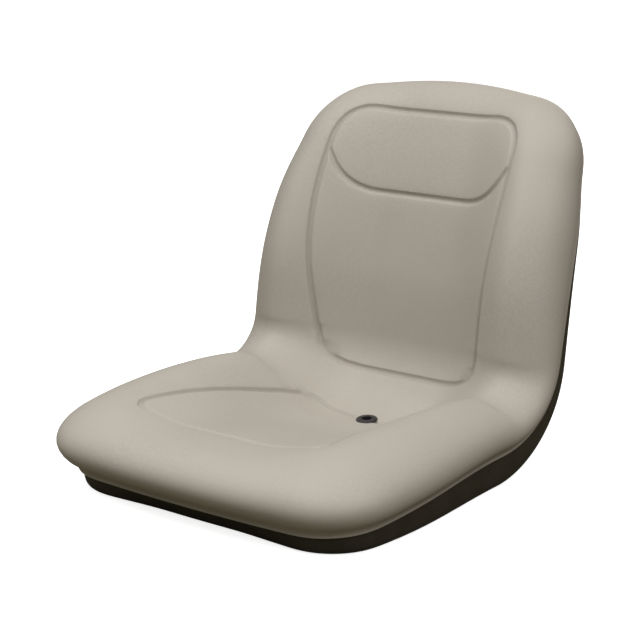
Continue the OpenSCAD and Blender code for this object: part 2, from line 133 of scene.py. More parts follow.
def even_steps(path, step, closed=False):
    """The same line with its points at equal steps."""
    if closed:
        path = np.vstack([path, path[:1]])
    run = np.concatenate([[0], np.cumsum(np.linalg.norm(np.diff(path, axis=0), axis=1))])
    count = max(2, 2 * int(round(run[-1] / step / 2)))
    at = np.linspace(0, run[-1], count + 1)
    at = at[:-1] if closed else at
    return np.stack([np.interp(at, run, path[:, k]) for k in range(path.shape[1])], 1)


# Its corners run softly into its sides, so the line is averaged over some millimetres
OUTLINE_STEP, SOFTEN = 4.8, 10
half = hem_outline()
whole = even_steps(np.vstack([half, half[-2:0:-1] * [-1, 1]]), 1.0, closed=True)
nearby = np.arange(-3 * SOFTEN, 3 * SOFTEN + 1)
weights = np.exp(-0.5 * (nearby / SOFTEN) ** 2)
weights /= weights.sum()
whole = sum(w * np.roll(whole, k, axis=0) for k, w in zip(nearby, weights))
OUTLINE = even_steps(whole, OUTLINE_STEP, closed=True)

# Each point of the outline moves inward to its own point of a core rectangle
CORE_HALF, CORE_FRONT, CORE_TOP = 45.0, BASE_LENGTH * 0.45, TOTAL - BACK_LENGTH * 0.35


def core_point(p):
    """The point of the core rectangle nearest to a point."""
    x = np.clip(p[..., 0], -CORE_HALF, CORE_HALF)
    s = np.clip(p[..., 1], CORE_FRONT, CORE_TOP)
    return np.stack([x, s], -1)


INWARD = core_point(OUTLINE) - OUTLINE
INWARD /= np.linalg.norm(INWARD, axis=1)[:, None]
RING_HEM = along(EDGE_AT, HEM, OUTLINE[:, 1])


def ring(q, h):
    """A closed ring of points at an inset q from the hem and a height h above the pan."""
    p = OUTLINE + INWARD * np.asarray(q)[:, None]
    return place(p[:, 0], p[:, 1], h)


def rim_at(x, s):
    """Inset of a point from the outline along its inward line, and that line's s at the outline."""
    x, s = np.asarray(x, float), np.asarray(s, float)
    right = whole[whole[:, 0] >= 0]
    right = right[np.argsort(np.arctan2(right[:, 1] - TOTAL / 2, right[:, 0]))]
    c = core_point(np.stack([x, s], -1))
    dx, ds = np.abs(x) - np.abs(c[..., 0]), s - c[..., 1]
    away = np.hypot(dx, ds)
    reach, edge = np.full(x.shape, 1e4), s.copy()
    for low in (True, False):
        corner = np.array([CORE_HALF, CORE_FRONT if low else CORE_TOP])
        d = right - corner
        angle, dist = np.arctan2(d[:, 1], d[:, 0]), np.hypot(d[:, 0], d[:, 1])
        part = (d[:, 0] >= -1) & ((d[:, 1] <= 1) if low else (d[:, 1] >= -1))
        order = np.argsort(angle[part])
        angle, dist = angle[part][order], dist[part][order]
        mine = (dx > 0) & ((ds < 0) if low else (ds > 0))
        at = np.arctan2(ds, dx)
        found = np.interp(at, angle, dist)
        reach = np.where(mine, found, reach)
        edge = np.where(mine, corner[1] + found * np.sin(at), edge)
        flat = (dx <= 0) & ((ds < 0) if low else (ds > 0))
        ends = right[(right[:, 1] < CORE_FRONT) if low else (right[:, 1] > CORE_TOP)]
        ends = ends[ends[:, 0] <= CORE_HALF + 5]
        ends = ends[np.argsort(ends[:, 0])]
        found = np.interp(np.abs(x), ends[:, 0], ends[:, 1])
        reach = np.where(flat, np.abs(found - corner[1]), reach)
        edge = np.where(flat, found, edge)
    side = (dx > 0) & (ds == 0)
    sides = right[(right[:, 1] > CORE_FRONT - 5) & (right[:, 1] < CORE_TOP + 5)]
    sides = sides[np.argsort(sides[:, 1])]
    reach = np.where(side, np.interp(s, sides[:, 1], sides[:, 0]) - CORE_HALF, reach)
    return reach - away, edge


class Solid:
    """A closed solid, in millimetres, gathered ring by ring and face by face."""

    def __init__(self):
        self.points, self.faces, self.count = [], [], 0

    def add(self, points):
        self.points.append(points)
        self.count += len(points)
        return np.arange(self.count - len(points), self.count)

    def band(self, a, b):
        c, d = np.roll(b, -1), np.roll(a, -1)
        self.faces += np.stack([a, b, c, d], 1).tolist()

    def rings(self, several):
        """Joins ring after ring, and returns the indices of the first and the last."""
        at = [self.add(r) for r in several]
        for a, b in zip(at, at[1:]):
            self.band(a, b)
        return at[0], at[-1]

    def build(self, name, crease=40):
        mesh = bpy.data.meshes.new(name)
        mesh.from_pydata((np.concatenate(self.points) * MM).tolist(), [], self.faces)
        bm = bmesh.new()
        bm.from_mesh(mesh)
        bmesh.ops.recalc_face_normals(bm, faces=bm.faces)
        bm.to_mesh(mesh)
        bm.free()
        mesh.shade_smooth()
        mesh.set_sharp_from_angle(angle=math.radians(crease))
        piece = bpy.data.objects.new(name, mesh)
        bpy.context.scene.collection.objects.link(piece)
        return piece


def fill_flat(loop, holes, loose, hole_middles):
    """Triangles of a region in x and s: its outer loop, its holes, then loose points."""
    loops = [loop, *holes]
    coords = np.concatenate([*loops, loose])
    edges, first = [], 0
    for part in loops:
        n = len(part)
        edges += [(first + i, first + (i + 1) % n) for i in range(n)]
        first += n
    found = delaunay_2d_cdt([Vector(c) for c in coords], edges, [], 1, 1e-4)
    source = [o[0] for o in found[3]]
    faces = np.array([[source[i] for i in f] for f in found[2]])
    middle = coords[faces].mean(1)
    keep = np.ones(len(faces), bool)
    for (x, s), r in hole_middles:
        keep &= np.hypot(middle[:, 0] - x, middle[:, 1] - s) > r * 0.97
    return faces[keep]


def honeycomb(step):
    """Loose points in rows over the whole flat outline."""
    s = np.arange(-10, TOTAL + 10, step * math.sqrt(3) / 2)
    x = np.arange(-240, 240.1, step)
    grid = np.stack(np.meshgrid(x, s), -1)
    grid[1::2, :, 0] += step / 2
    return grid.reshape(-1, 2)


def circle(x, s, r, count=40):
    a = np.linspace(0, 2 * math.pi, count, endpoint=False)
    return np.stack([x + r * np.cos(a), s + r * np.sin(a)], 1)


SHEET, PAN_FILLET, COVER_T, FIT = 1.6, 9.0, 3.0, 0.3
FRONT_DRAFT, TOP_DRAFT, SIDE_DRAFT = 17.0, 10.0, 5.0
WALL_STEPS, FILLET_STEPS = 5, 7
BEAD_HEIGHT, BEAD_PLACE, BEAD_SPREAD = 4.0, 0.42, 0.08


def wall_rings(off, up=0.0):
    """Rings of the pan's wall from the rim over its fillet to the floor, off inside its outer face."""
    side = INWARD[:, 0] ** 2
    end = FRONT_DRAFT + (TOP_DRAFT - FRONT_DRAFT) * OUTLINE[:, 1] / TOTAL
    foot = end + (SIDE_DRAFT - end) * side
    top = RING_HEM + LAP
    dq, dh = COVER_T + FIT - foot, top
    size = np.hypot(dq, dh)
    dq, dh = dq / size, dh / size
    corner = foot + off * dh + off * (1 + dq) / dh * dq
    rise = (top + up - off) / dh
    r = np.minimum(PAN_FILLET, 0.6 * top)
    rim = np.stack([corner + rise * dq, top + up], 1)
    bend_from = np.stack([corner + r * dq, off + r * dh], 1)
    bend_mid = np.stack([corner, np.full_like(corner, off)], 1)
    bend_to = np.stack([corner + r, np.full_like(corner, off)], 1)
    rows = [rim + (bend_from - rim) * k / WALL_STEPS for k in range(WALL_STEPS)]
    for k in range(FILLET_STEPS + 1):
        t = k / FILLET_STEPS
        rows.append(bend_from * (1 - t) ** 2 + bend_mid * 2 * t * (1 - t) + bend_to * t * t)
    return [ring(w[:, 0], w[:, 1]) for w in rows], OUTLINE + INWARD * rows[-1][:, :1]


def floor_height(p):
    """Height of the two pressed beads over the plain floor."""
    floor_half = half_width(p[:, 1]) - 15
    fade = 10 * BEAD_HEIGHT
    high = TOTAL - TOP_R
    run = ease(BEND_END - fade, BEND_END, p[:, 1]) * (1 - ease(high - fade, high, p[:, 1]))
    across = np.abs(np.abs(p[:, 0]) / floor_half - BEAD_PLACE) / BEAD_SPREAD
    return BEAD_HEIGHT * run * (1 - ease(0, 1, across))


# Holes of the floor: four for the bolts, one for the seat switch, one for the drain tube
BOLT_HALF_X, BOLT_HALF_Y, BOLT_HOLE_R = 143.0, 100.0, 4.5
SWITCH_AHEAD, SWITCH_R = 20.0, 19.0
DRAIN_HOLE_R, DRAIN_FOOT_S = 8.3, 334.4
BOLTS = [(x, FRONT_OVERHANG + y) for x in (-BOLT_HALF_X, BOLT_HALF_X) for y in (-BOLT_HALF_Y, BOLT_HALF_Y)]
FLOOR_HOLES = [((x, s), BOLT_HOLE_R) for x, s in BOLTS]
FLOOR_HOLES += [((0.0, FRONT_OVERHANG - SWITCH_AHEAD), SWITCH_R), ((0.0, DRAIN_FOOT_S), DRAIN_HOLE_R)]

outer_wall, outer_loop = wall_rings(0.0)
inner_wall, inner_loop = wall_rings(SHEET)
pan = Solid()
wall_end, wall_start = pan.rings([*outer_wall[::-1], *inner_wall])
holes = [circle(*middle, r) for middle, r in FLOOR_HOLES]
loose = honeycomb(9.0)
keep = rim_at(loose[:, 0], loose[:, 1])[0] > 32
for (x, s), r in FLOOR_HOLES:
    keep &= np.hypot(loose[:, 0] - x, loose[:, 1] - s) > r + 3
floor_points = np.concatenate([*holes, loose[keep]])
floor_faces = fill_flat(inner_loop, holes, loose[keep], FLOOR_HOLES)
for edge_ring, off in ((wall_end, 0.0), (wall_start, SHEET)):
    heights = off + floor_height(floor_points)
    at = np.concatenate([edge_ring, pan.add(place(floor_points[:, 0], floor_points[:, 1], heights))])
    pan.faces += at[floor_faces].tolist()
    if off:
        first = len(OUTLINE)
        for part in holes:
            pan.band(at[first:first + len(part)], outer_at[first:first + len(part)])
            first += len(part)
    outer_at = at
steel_pan = pan.build("pan_shell")

# The three small holes in each side wall are pierced through after drawing
SIDE_HOLES, SIDE_HOLE_R, PUNCH_LENGTH = [(281.0, 27.0), (437.0, 21.0), (565.0, 8.0)], 1.5, 600
punch = bmesh.new()
for s, h in SIDE_HOLES:
    _, y, z = place(0.0, s, h) * MM
    made = bmesh.ops.create_cone(
        punch, cap_ends=True, segments=20, radius1=SIDE_HOLE_R * MM, radius2=SIDE_HOLE_R * MM,
        depth=PUNCH_LENGTH * MM,
    )
    across = Matrix.Translation((0, y, z)) @ Matrix.Rotation(math.pi / 2, 4, "Y")
    bmesh.ops.transform(punch, verts=made["verts"], matrix=across)
punch_mesh = bpy.data.meshes.new("punch")
punch.to_mesh(punch_mesh)
punch.free()
punch_tool = bpy.data.objects.new("punch", punch_mesh)
bpy.context.scene.collection.objects.link(punch_tool)
pierce = steel_pan.modifiers.new("pierce", "BOOLEAN")
pierce.operation, pierce.object, pierce.solver = "DIFFERENCE", punch_tool, "EXACT"
pierced = bpy.data.meshes.new_from_object(steel_pan.evaluated_get(bpy.context.evaluated_depsgraph_get()))
steel_pan.modifiers.clear()
steel_pan.data = pierced
bpy.data.objects.remove(punch_tool)
pierced.shade_smooth()
pierced.set_sharp_from_angle(angle=math.radians(40))


class Wire:
    """A socket of a material. Arithmetic on it adds Math nodes, and node() adds any other node."""

    def __init__(self, tree, socket=None):
        self.tree, self.socket = tree, socket

    def node(self, kind, settings=(), sockets=(), out=0):
        made = self.tree.nodes.new(kind)
        for name, value in dict(settings).items():
            if name == "stops":
                ramp = made.color_ramp
                while len(ramp.elements) < len(value):
                    ramp.elements.new(0.5)
                for element, (at, colour) in zip(ramp.elements, value):
                    element.position, element.color = at, colour
            else:
                setattr(made, name, value)
        for name, value in dict(sockets).items():
            if isinstance(value, Wire):
                self.tree.links.new(value.socket, made.inputs[name])
            else:
                made.inputs[name].default_value = value
        return Wire(self.tree, made.outputs[out] if len(made.outputs) else None)

    def maths(self, operation, first, second):
        return self.node("ShaderNodeMath", {"operation": operation}, {0: first, 1: second})

    def __add__(self, other):
        return self.maths("ADD", self, other)

    __radd__ = __add__

    def __sub__(self, other):
        return self.maths("SUBTRACT", self, other)

    def __rsub__(self, other):
        return self.maths("SUBTRACT", other, self)

    def __mul__(self, other):
        return self.maths("MULTIPLY", self, other)

    __rmul__ = __mul__

    def clipped(self, low, high):
        """This value from low to high, brought to 0 and 1."""
        return self.node("ShaderNodeMapRange", {"interpolation_type": "SMOOTHSTEP"},
                         {"Value": self, "From Min": low, "From Max": high})

    def noise(self, per_metre, detail=2.0, roughness=0.5):
        where = self.node("ShaderNodeTexCoord", out=3)
        return self.node("ShaderNodeTexNoise", (),
                         {"Vector": where, "Scale": per_metre, "Detail": detail, "Roughness": roughness})

    def mixed(self, low, high):
        """The colour between two, by this value. Each is a colour or a wire."""
        return self.node("ShaderNodeMix", {"data_type": "RGBA"}, {0: self, 6: low, 7: high}, out=2)

    def finish(self, colour, rough, height, depth, **constants):
        """The surface: its colour, roughness and the height of its fine relief, depth metres deep."""
        bump = self.node("ShaderNodeBump", (), {"Height": height, "Distance": depth, "Strength": 1.0})
        sockets = {"Base Color": colour, "Roughness": rough, "Normal": bump}
        sockets.update({name.replace("_", " "): value for name, value in constants.items()})
        shader = self.node("ShaderNodeBsdfPrincipled", (), sockets)
        self.node("ShaderNodeOutputMaterial", (), {"Surface": shader})


def new_material(name):
    material = bpy.data.materials.new(name)
    material.use_nodes = True
    material.node_tree.nodes.clear()
    return material, Wire(material.node_tree)


def dress(piece, material):
    """Gives a piece its material."""
    piece.data.materials.clear()
    piece.data.materials.append(material)


# Powder coat: brown black, half matt, with the skin of orange peel and a little dust
pan_paint, wire = new_material("pan_powder_coat")
peel = wire.noise(620, 2.0)
dust = wire.noise(38, 4.0, 0.65).clipped(0.3, 0.8)
tone = dust.mixed((0.03, 0.0245, 0.016, 1), (0.043, 0.036, 0.025, 1))
wire.finish(tone, 0.42 + 0.16 * dust + 0.05 * peel, peel, 0.00006)
dress(steel_pan, pan_paint)
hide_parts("steel_pan")
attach(steel_pan, "root")

# Mounting bars. Two flat bars of plain hot-rolled steel, spot welded across the floor of
# the pan over the bolt holes.

bar_steel, wire = new_material("bar_mill_scale")
scale_spots = wire.noise(160, 5.0, 0.6)
drawn = wire.noise(900, 2.0)
tone = scale_spots.clipped(0.35, 0.7).mixed((0.19, 0.2, 0.22, 1), (0.31, 0.3, 0.29, 1))
wire.finish(tone, 0.38 + 0.25 * scale_spots, scale_spots + 0.4 * drawn, 0.00008, Metallic=0.85)
for name in ("front_mount_bar", "rear_mount_bar"):
    dress(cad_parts[name], bar_steel)

# Weld nuts. Four zinc plated hexagon nuts, projection welded to the bars, one over each
# bolt hole.

zinc, wire = new_material("nut_zinc")
spangle = wire.noise(240, 3.0)
tone = spangle.clipped(0.3, 0.7).mixed((0.52, 0.52, 0.5, 1), (0.66, 0.65, 0.6, 1))
wire.finish(tone, 0.28 + 0.2 * spangle, spangle, 0.00003, Metallic=1.0)
dress(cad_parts["weld_nuts"], zinc)

# Switch plug. A moulded blanking plug that closes the seat switch hole in the floor.

black_plastic, wire = new_material("black_moulded_plastic")
grain = wire.noise(1500, 2.0)
cloud = wire.noise(70, 2.0)
tone = cloud.mixed((0.012, 0.011, 0.013, 1), (0.024, 0.022, 0.025, 1))
wire.finish(tone, 0.36 + 0.14 * grain, grain, 0.00004)
dress(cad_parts["switch_plug"], black_plastic)

# Foam cushion. One moulding of polyurethane foam for seat and back, with the side bolsters
# and the rolled edge moulded in. It fills the pan up to the cover.

ROLL, SWELL = [85, 72, 63, 56], [25, 17, 9, 4]
HEIGHT_AT = [0, BASE_LENGTH * 0.45, BASE_LENGTH * 0.95, BASE_LENGTH + BEND_LENGTH * 0.75,
             BEND_END + BACK_LENGTH * 0.25, BEND_END + BACK_LENGTH * 0.7, TOTAL]
CENTRE_HEIGHTS = [99, 78, 41, 25, 44, 52, 49]
RISES = [0, 33, 66, 62, 60, 33, 4]
FIELD_FROM = math.radians(48)
ROLL_STEPS = 12

RING_ROLL = along(EDGE_AT, ROLL, OUTLINE[:, 1])
RING_SWELL = along(EDGE_AT, SWELL, OUTLINE[:, 1])
RING_START = np.arccos(RING_ROLL / (RING_ROLL + RING_SWELL))
FIELD_INSET = RING_ROLL - (RING_ROLL + RING_SWELL) * math.cos(FIELD_FROM)
FIELD_LOOP = OUTLINE + INWARD * FIELD_INSET[:, None]


def cushion_h(x, s):
    return along(HEIGHT_AT, CENTRE_HEIGHTS, s) + along(HEIGHT_AT, RISES, s) * ease(
        0.25, 0.85, np.abs(x) / half_width(s)
    )


def skin_h(x, s, off=0.0, up=0.0):
    """Height of the cushion's skin at a place, off inside the outer face of the cover."""
    q, edge = rim_at(x, s)
    roll, swell = along(EDGE_AT, ROLL, edge), along(EDGE_AT, SWELL, edge)
    low = along(EDGE_AT, HEM, edge) + LAP + up
    start = np.arccos(roll / (roll + swell))
    turn = np.arccos(np.clip((roll - q) / (roll + swell - off), 0, 1))
    share = (np.sin(turn) + np.sin(start)) / (1 + np.sin(start))
    return low + (cushion_h(x, s) - off - low) * share


def skin_point(x, s, off=0.0, up=0.0):
    return place(x, s, skin_h(x, s, off, up))


def skin_normal(x, s):
    a = skin_point(x + 1, s) - skin_point(x - 1, s)
    b = skin_point(x, s + 1) - skin_point(x, s - 1)
    n = np.cross(a, b)
    return n / np.linalg.norm(n, axis=-1, keepdims=True)


def roll_rings(off, up=0.0):
    """Rings of the rolled edge from the lap up to the field, off inside the cover's outer face."""
    whole_r = RING_ROLL + RING_SWELL - off
    last = np.arccos(np.clip((RING_ROLL - FIELD_INSET) / whole_r, 0, 1))
    rows = []
    for k in range(ROLL_STEPS + 1):
        turn = -RING_START + (last + RING_START) * k / ROLL_STEPS
        q = RING_ROLL - whole_r * np.cos(turn)
        p = OUTLINE + INWARD * q[:, None]
        share = (np.sin(turn) + np.sin(RING_START)) / (1 + np.sin(RING_START))
        low = RING_HEM + LAP + up
        rows.append(ring(q, low + (cushion_h(p[:, 0], p[:, 1]) - off - low) * share))
    return rows


def rounded(corners, cuts, closed=True):
    """A line through corners, each rounded over a length of its edges."""
    corners, path = np.asarray(corners, float), []
    n = len(corners)
    for i, cut in enumerate(cuts):
        p = corners[i]
        if not closed and i in (0, n - 1):
            path.append(p[None])
            continue
        a, b = corners[i - 1] - p, corners[(i + 1) % n] - p
        u, v = p + a / np.linalg.norm(a) * cut, p + b / np.linalg.norm(b) * cut
        t = np.linspace(0, 1, 17)[:, None]
        path.append(u * (1 - t) ** 2 + p * 2 * t * (1 - t) + v * t * t)
    path = np.concatenate(path)
    return np.vstack([path, path[:1]]) if closed else path


# The lines are embossed into cover and foam together, so both follow them
PANEL_DROP, PANEL_HEIGHT, PANEL_WAIST = 46, 335, 0.58
PANEL_HALF_TOP, PANEL_HALF_MID, PANEL_HALF_LOW = 133, 141, 114
TOP_CUT, MID_CUT, LOW_CUT = 48, 90, 34
PANEL_TOP = TOTAL - PANEL_DROP
PANEL_LOW = PANEL_TOP - PANEL_HEIGHT
PANEL_MID = PANEL_LOW + PANEL_WAIST * PANEL_HEIGHT
panel_right = [(PANEL_HALF_LOW, PANEL_LOW), (PANEL_HALF_MID, PANEL_MID), (PANEL_HALF_TOP, PANEL_TOP)]
panel_left = [(-x, s) for x, s in panel_right[::-1]]
BACK_LINE = rounded(panel_right + panel_left, [LOW_CUT, MID_CUT, TOP_CUT, TOP_CUT, MID_CUT, LOW_CUT])

# The headrest line runs up into the panel's sides at both ends
HEADREST_DROP, HEADREST_HALF, HEADREST_CUT = 103, 106, 36
HEADREST_OUT, HEADREST_UP = 30, 42
HEADREST_S = PANEL_TOP - HEADREST_DROP
headrest_right = [(HEADREST_HALF, HEADREST_S), (HEADREST_HALF + HEADREST_OUT, HEADREST_S + HEADREST_UP)]
headrest_left = [(-x, s) for x, s in headrest_right[::-1]]
HEADREST_LINE = rounded(headrest_left + headrest_right, [0, HEADREST_CUT, HEADREST_CUT, 0], closed=False)

# The seat line is wide in front, and notched at the drain
SEAT_START, SEAT_LENGTH, SEAT_NOTCH, SEAT_CUT = 66, 296, 26, 26
SEAT_HALF_FRONT, SEAT_HALF_REAR = 142, 98
SEAT_END = SEAT_START + SEAT_LENGTH
seat_rear = [(SEAT_HALF_REAR, SEAT_END), (0, SEAT_END - SEAT_NOTCH), (-SEAT_HALF_REAR, SEAT_END)]
seat_corners = [(-SEAT_HALF_FRONT, SEAT_START), (SEAT_HALF_FRONT, SEAT_START), *seat_rear]
SEAT_LINE = rounded(seat_corners, [SEAT_CUT] * len(seat_corners))
LINES = [even_steps(p, 2.6) for p in (BACK_LINE, HEADREST_LINE, SEAT_LINE)]
LINES_3D = [skin_point(p[:, 0], p[:, 1]) for p in LINES]
LINE_HALF, LINE_DEPTH, LINE_EASE = 4.3, 3.0, 0.08


def closest(points, path):
    """Distance from each point to a line."""
    a, d = path[:-1], np.diff(path, axis=0)
    size = (d * d).sum(1)
    out = np.empty(len(points))
    for i in range(0, len(points), 1500):
        p = points[i:i + 1500, None, :] - a
        t = np.clip((p * d).sum(2) / size, 0, 1)
        out[i:i + 1500] = np.sqrt(((p - t[..., None] * d) ** 2).sum(2).min(1))
    return out


def line_profile(away):
    """Share of the depth of an embossed line at a distance from its middle, edges eased."""
    u, e = away / LINE_HALF, LINE_EASE
    eased = (2 * e - e * e) * ((1 + e - u) / (2 * e)) ** 2
    return np.where(u < 1 - e, 1 - u * u, np.where(u < 1 + e, eased, 0))


# Loose points of the field: rows beside the lines, then a honeycomb over the rest
ROWS = [0, 1.4, 2.6, 3.4, 3.9, 4.2, 4.5, 4.8, 6.4, 9.0]
field = []
for index, (path, path_3d) in enumerate(zip(LINES, LINES_3D)):
    tangent = np.gradient(path, axis=0)
    tangent /= np.linalg.norm(tangent, axis=1, keepdims=True)
    normal = np.stack([-tangent[:, 1], tangent[:, 0]], 1)
    spread = np.linalg.norm(
        skin_point(*(path + normal).T) - skin_point(*(path - normal).T), axis=1
    )[:, None] / 2
    for away in ROWS:
        for side in ((1, -1) if away else (1,)):
            row = path + normal * side * away / spread
            row = row[1::2] if away > 5 else row
            at = skin_point(row[:, 0], row[:, 1])
            gaps = np.stack([closest(at, other) for other in LINES_3D])
            own = gaps[index] > away - 0.35
            others = np.delete(gaps, index, 0).min(0)
            field.append(row[own & (others > away)])
field = np.concatenate(field)

# The drain tube stands square to the bottom of the dish
DRAIN_S, DRAIN_SEAT_R = 340.0, 13.9
drain_at = skin_point(np.array(0.0), np.array(DRAIN_S))
drain_up = skin_normal(np.array(0.0), np.array(DRAIN_S))
drain_across = np.array([1.0, 0, 0])
drain_along = np.cross(drain_up, drain_across)
drain_spread = float(np.linalg.norm(skin_point(np.array(0.0), np.array(DRAIN_S + 1)) - drain_at))
DRAIN_RINGS = [DRAIN_HOLE_R, 10.2, 12.2, 13.6, 14.2, 15.0, 16.5, 18.5]


def round_drain(r, count=48):
    a = np.linspace(0, 2 * math.pi, count, endpoint=False)
    return np.stack([r * np.cos(a), DRAIN_S + r * np.sin(a) / drain_spread], 1)


def from_drain(p):
    return np.hypot(p[:, 0], (p[:, 1] - DRAIN_S) * drain_spread)


field = field[from_drain(field) > 20]
comb = honeycomb(5.6)
comb_3d = skin_point(comb[:, 0], comb[:, 1])
inside = rim_at(comb[:, 0], comb[:, 1])
edge_roll, edge_swell = along(EDGE_AT, ROLL, inside[1]), along(EDGE_AT, SWELL, inside[1])
far = inside[0] > edge_roll - (edge_roll + edge_swell) * math.cos(FIELD_FROM) + 3.2
comb, comb_3d = comb[far], comb_3d[far]
far = (np.min([closest(comb_3d, p) for p in LINES_3D], axis=0) > 12) & (from_drain(comb) > 22)
ringed = np.concatenate([round_drain(r) for r in DRAIN_RINGS[1:]])
field = np.concatenate([ringed, field, comb[far]])
cell = np.round(field / 0.7).astype(int)
field = field[np.sort(np.unique(cell, axis=0, return_index=True)[1])]
drain_loop = round_drain(DRAIN_HOLE_R)
FIELD_FACES = fill_flat(FIELD_LOOP, [drain_loop], field, [((0.0, DRAIN_S), DRAIN_HOLE_R / drain_spread)])
FIELD = np.concatenate([drain_loop, field])
field_3d = skin_point(FIELD[:, 0], FIELD[:, 1])
field_normal = skin_normal(FIELD[:, 0], FIELD[:, 1])
line_away = np.min([closest(field_3d, p) for p in LINES_3D], axis=0)
sunk = LINE_DEPTH * line_profile(line_away) + 0.55 * np.exp(-((line_away / 9.0) ** 2))


def field_surface(off, up=0.0):
    """The field of the skin with its embossed lines and the flat seat of the drain's flange."""
    p = skin_point(FIELD[:, 0], FIELD[:, 1], off, up) - field_normal * sunk[:, None]
    local = p - drain_at
    high = local @ drain_up + off
    near = 1 - ease(DRAIN_SEAT_R, DRAIN_SEAT_R + 1.6, from_drain(FIELD))
    drop = np.maximum(high + 0.05, 0) * near
    p = p - drop[:, None] * drain_up
    n = len(drain_loop)
    rim = p[:n] - drain_at
    axes = np.stack([drain_across, drain_along, drain_up])
    local = rim @ axes.T
    local[:, :2] *= (DRAIN_HOLE_R / np.hypot(local[:, 0], local[:, 1]))[:, None]
    p[:n] = drain_at + local @ axes
    return p


FOAM_TOP, FOAM_UNDER = COVER_T + FIT, SHEET + FIT
foam = Solid()
under_wall, under_loop = wall_rings(FOAM_UNDER, FIT)
floor_ring, field_ring = foam.rings([*under_wall[::-1], *roll_rings(FOAM_TOP, FIT)])
at = np.concatenate([field_ring, foam.add(field_surface(FOAM_TOP, FIT))])
foam.faces += at[FIELD_FACES].tolist()
top_hole = at[len(OUTLINE):len(OUTLINE) + len(drain_loop)]
under_hole = [((0.0, DRAIN_FOOT_S), DRAIN_HOLE_R)]
foot = circle(0.0, DRAIN_FOOT_S, DRAIN_HOLE_R, len(drain_loop))
loose = honeycomb(6.0)
clear = np.hypot(loose[:, 0], loose[:, 1] - DRAIN_FOOT_S) > DRAIN_HOLE_R + 3.7
loose = loose[(rim_at(loose[:, 0], loose[:, 1])[0] > 34) & clear]
flat = np.concatenate([foot, loose])
height = FOAM_UNDER + floor_height(flat)

# Hollows under the foam clear the bars, the nuts and the plug
BAR_HALF, BAR_HALF_W, BAR_T, NUT_H, HOLLOW = 163, 14, 3, 6.5, 9
for y in (-BOLT_HALF_Y, BOLT_HALF_Y):
    over = np.abs(flat[:, 0]) < BAR_HALF + HOLLOW
    over &= np.abs(flat[:, 1] - FRONT_OVERHANG - y) < BAR_HALF_W + HOLLOW
    height = np.where(over, SHEET + BAR_T + 2 * FIT, height)
for x, s in BOLTS:
    near_nut = np.hypot(flat[:, 0] - x, flat[:, 1] - s) < 2 * HOLLOW
    height = np.where(near_nut, SHEET + BAR_T + NUT_H + 2, height)
near_plug = np.hypot(flat[:, 0], flat[:, 1] - FRONT_OVERHANG + SWITCH_AHEAD) < SWITCH_R + 14
height = np.where(near_plug, SHEET + 4, height)
at = np.concatenate([floor_ring, foam.add(place(flat[:, 0], flat[:, 1], height))])
foam.faces += at[fill_flat(under_loop, [foot], loose, under_hole)].tolist()
foam.band(top_hole, at[len(OUTLINE):len(OUTLINE) + len(foot)])
foam_cushion = foam.build("moulded_foam")

foam_skin, wire = new_material("foam_skin")
cells = wire.noise(900, 3.0)
patches = wire.noise(30, 3.0)
tone = patches.mixed((0.66, 0.55, 0.36, 1), (0.76, 0.66, 0.46, 1))
wire.finish(tone, 0.82 + 0.1 * cells, cells, 0.0002)
dress(foam_cushion, foam_skin)
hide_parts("foam_cushion")
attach(foam_cushion, "root")

# Cover. One skin of 3 mm vinyl on a bonded backing, formed hot over the foam with its
# panels embossed. Its cut lower edge laps over the outside of the pan's rim.

EDGE_R, TUCK_STEPS = 0.9, 10
cut_edge = [(0.0, EDGE_R), (0.27, 0.27), (EDGE_R, 0.0)]
cut_edge = cut_edge + [(COVER_T - q, h) for q, h in cut_edge[::-1]]
hem_rings = [ring(np.full(len(OUTLINE), q), RING_HEM + h) for q, h in cut_edge]
cover = Solid()
outside = roll_rings(0.0)[::-1]
tuck_to, _, tuck_mid = outside[-3:]
tuck_from = ring(np.zeros(len(OUTLINE)), RING_HEM + EDGE_R)
outside = outside[:-2]
for k in range(1, TUCK_STEPS):
    t = k / TUCK_STEPS
    outside.append(tuck_to * (1 - t) ** 2 + tuck_mid * 2 * t * (1 - t) + tuck_from * t * t)
field_ring, lining_ring = cover.rings([*outside, *hem_rings, *roll_rings(COVER_T)])
at = np.concatenate([field_ring, cover.add(field_surface(0.0))])
cover.faces += at[FIELD_FACES].tolist()
lining = np.concatenate([lining_ring, cover.add(field_surface(COVER_T))])
cover.faces += lining[FIELD_FACES].tolist()
first, last = len(OUTLINE), len(OUTLINE) + len(drain_loop)
cover.band(at[first:last], lining[first:last])
vinyl_cover = cover.build("vinyl_cover_skin", crease=60)
# Painted shade: this mask of the embossed lines darkens the vinyl's colour in them, standing in for the
# shade in their grooves
shade = np.zeros(cover.count)
shade[at[len(OUTLINE):]] = line_profile(line_away)
painted_line_shade_layer = vinyl_cover.data.attributes.new("embossed", "FLOAT", "POINT")
painted_line_shade_layer.data.foreach_set("value", shade.astype(np.float32))

# Warm grey vinyl: fine pebbled grain, soft clouding from handling, and painted shade darkening the lines
vinyl, wire = new_material("warm_grey_vinyl")
where = wire.node("ShaderNodeTexCoord", out=3)
pebbles = wire.node("ShaderNodeTexVoronoi", {"feature": "SMOOTH_F1"},
                    {"Vector": where, "Scale": 820, "Smoothness": 0.6})
fine = wire.noise(2100, 2.0)
cloud = wire.noise(9, 3.0, 0.55)
speck = wire.noise(320, 2.0)
painted_line_shade = wire.node("ShaderNodeAttribute", {"attribute_name": "embossed"}, out=2)
tone = cloud.clipped(0.3, 0.7).mixed((0.42, 0.388, 0.338, 1), (0.45, 0.414, 0.358, 1))
tone = speck.clipped(0.35, 0.65).mixed(tone, (0.448, 0.417, 0.37, 1))
# Painted shade: the colour turns darker brown in the lines, standing in for the shade in their grooves
tone = (painted_line_shade * 0.35).mixed(tone, (0.3, 0.265, 0.225, 1))
wire.finish(tone, 0.5 + 0.1 * fine + 0.08 * cloud, fine * 0.35 - pebbles, 0.00012)
dress(vinyl_cover, vinyl)
